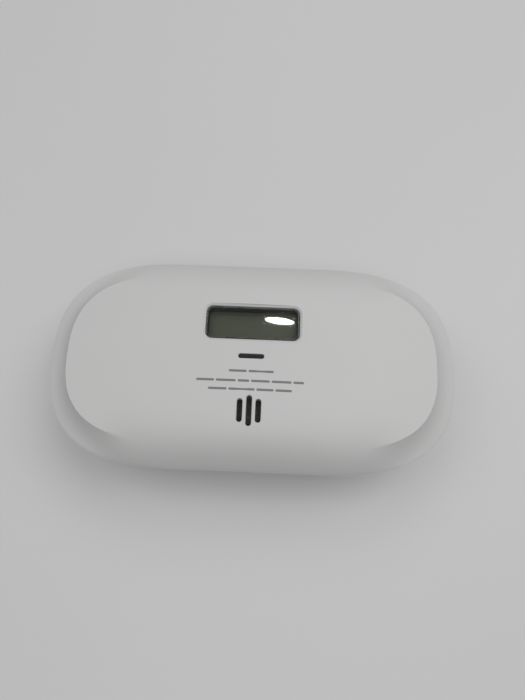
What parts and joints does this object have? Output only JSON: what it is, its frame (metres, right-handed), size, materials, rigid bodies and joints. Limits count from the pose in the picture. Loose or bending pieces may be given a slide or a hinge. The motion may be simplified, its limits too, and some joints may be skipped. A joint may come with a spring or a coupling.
{
  "type": "carbon monoxide alarm",
  "caption": "Wide, low white carbon monoxide alarm with a display window, sound slots, a hinged battery door and a wall bracket.",
  "frame": {"origin": "under the middle of the face, in the plane of the wall bracket's back", "axes": "+X to the alarm's right, along its length; +Y towards its top edge; +Z out of its face"},
  "size_m": [0.136, 0.071, 0.035],
  "materials": {
    "white_housing": "satin, finely textured",
    "label_stock": "satin film",
    "clear_lens": "gloss",
    "black_plastic": "satin",
    "display_cell": "gloss",
    "diffuser": "matte",
    "light_guide": "gloss",
    "pale_plastic": "satin",
    "contact_rubber": "matte",
    "foam": "matte",
    "brass": "satin",
    "laminate": "satin",
    "plated_metal": "satin",
    "dark_resin": "matte",
    "cell_sleeve": "gloss",
    "led_green": "gloss",
    "led_red": "gloss",
    "led_yellow": "gloss",
    "red_wire": "satin",
    "black_wire": "satin"
  },
  "bodies": {
    "housing": {"front_cover": "white_housing", "rear_housing": "white_housing", "rating_label": "label_stock", "display_lens": "clear_lens", "display_bezel": "black_plastic", "sounder_case": "black_plastic", "sounder_cap": "black_plastic", "display_glass": "display_cell", "display_backlight": "diffuser", "status_light_guide": "light_guide", "display_holder": "pale_plastic", "gas_sensor_cap": "pale_plastic", "upper_contact_strip": "contact_rubber", "lower_contact_strip": "contact_rubber", "sound_slot_mesh": "contact_rubber", "sounder_gasket": "foam", "sounder_disc": "brass", "antenna": "brass", "circuit_board": "laminate", "radio_board": "laminate", "gas_sensor": "plated_metal", "radio_shield": "plated_metal", "battery_spring": "plated_metal", "battery_spring_plate": "plated_metal", "battery_plate": "plated_metal", "case_screw_1": "plated_metal", "case_screw_2": "plated_metal", "case_screw_3": "plated_metal", "case_screw_4": "plated_metal", "board_screw_1": "plated_metal", "board_screw_2": "plated_metal", "board_screw_3": "plated_metal", "board_screw_4": "plated_metal", "microcontroller": "dark_resin", "boost_inductor": "dark_resin", "test_switch": "dark_resin", "battery": "cell_sleeve", "storage_capacitor": "cell_sleeve", "power_led": "led_green", "alarm_led": "led_red", "fault_led": "led_yellow", "red_battery_lead": "red_wire", "black_battery_lead": "black_wire"},
    "door": {"battery_door": "white_housing"},
    "bracket": {"wall_bracket": "white_housing"},
    "button": {"test_button": "white_housing"},
    "plunger": {"test_switch_plunger": "pale_plastic"}
  },
  "joints": [
    {"name": "door_swing", "type": "hinge", "parent": "housing", "child": "door", "pos_m": [-0.0395, 0.0203, 0.004], "axis": [1, 0, 0], "range_deg": [0, 100]},
    {"name": "bracket_slide", "type": "slide", "parent": "housing", "child": "bracket", "axis": [0, -1, 0], "range_m": [0, 0.006]},
    {"name": "button_press", "type": "slide", "parent": "housing", "child": "button", "axis": [0, -1, 0], "range_m": [0, 0.0006], "stiffness_N_per_m": 2000},
    {"name": "plunger_press", "type": "slide", "parent": "housing", "child": "plunger", "axis": [0, -1, 0], "range_m": [0, 0.0003]}
  ],
  "couplings": [
    {"joint": "plunger_press", "follows": "button_press", "ratio": 0.5}
  ]
}
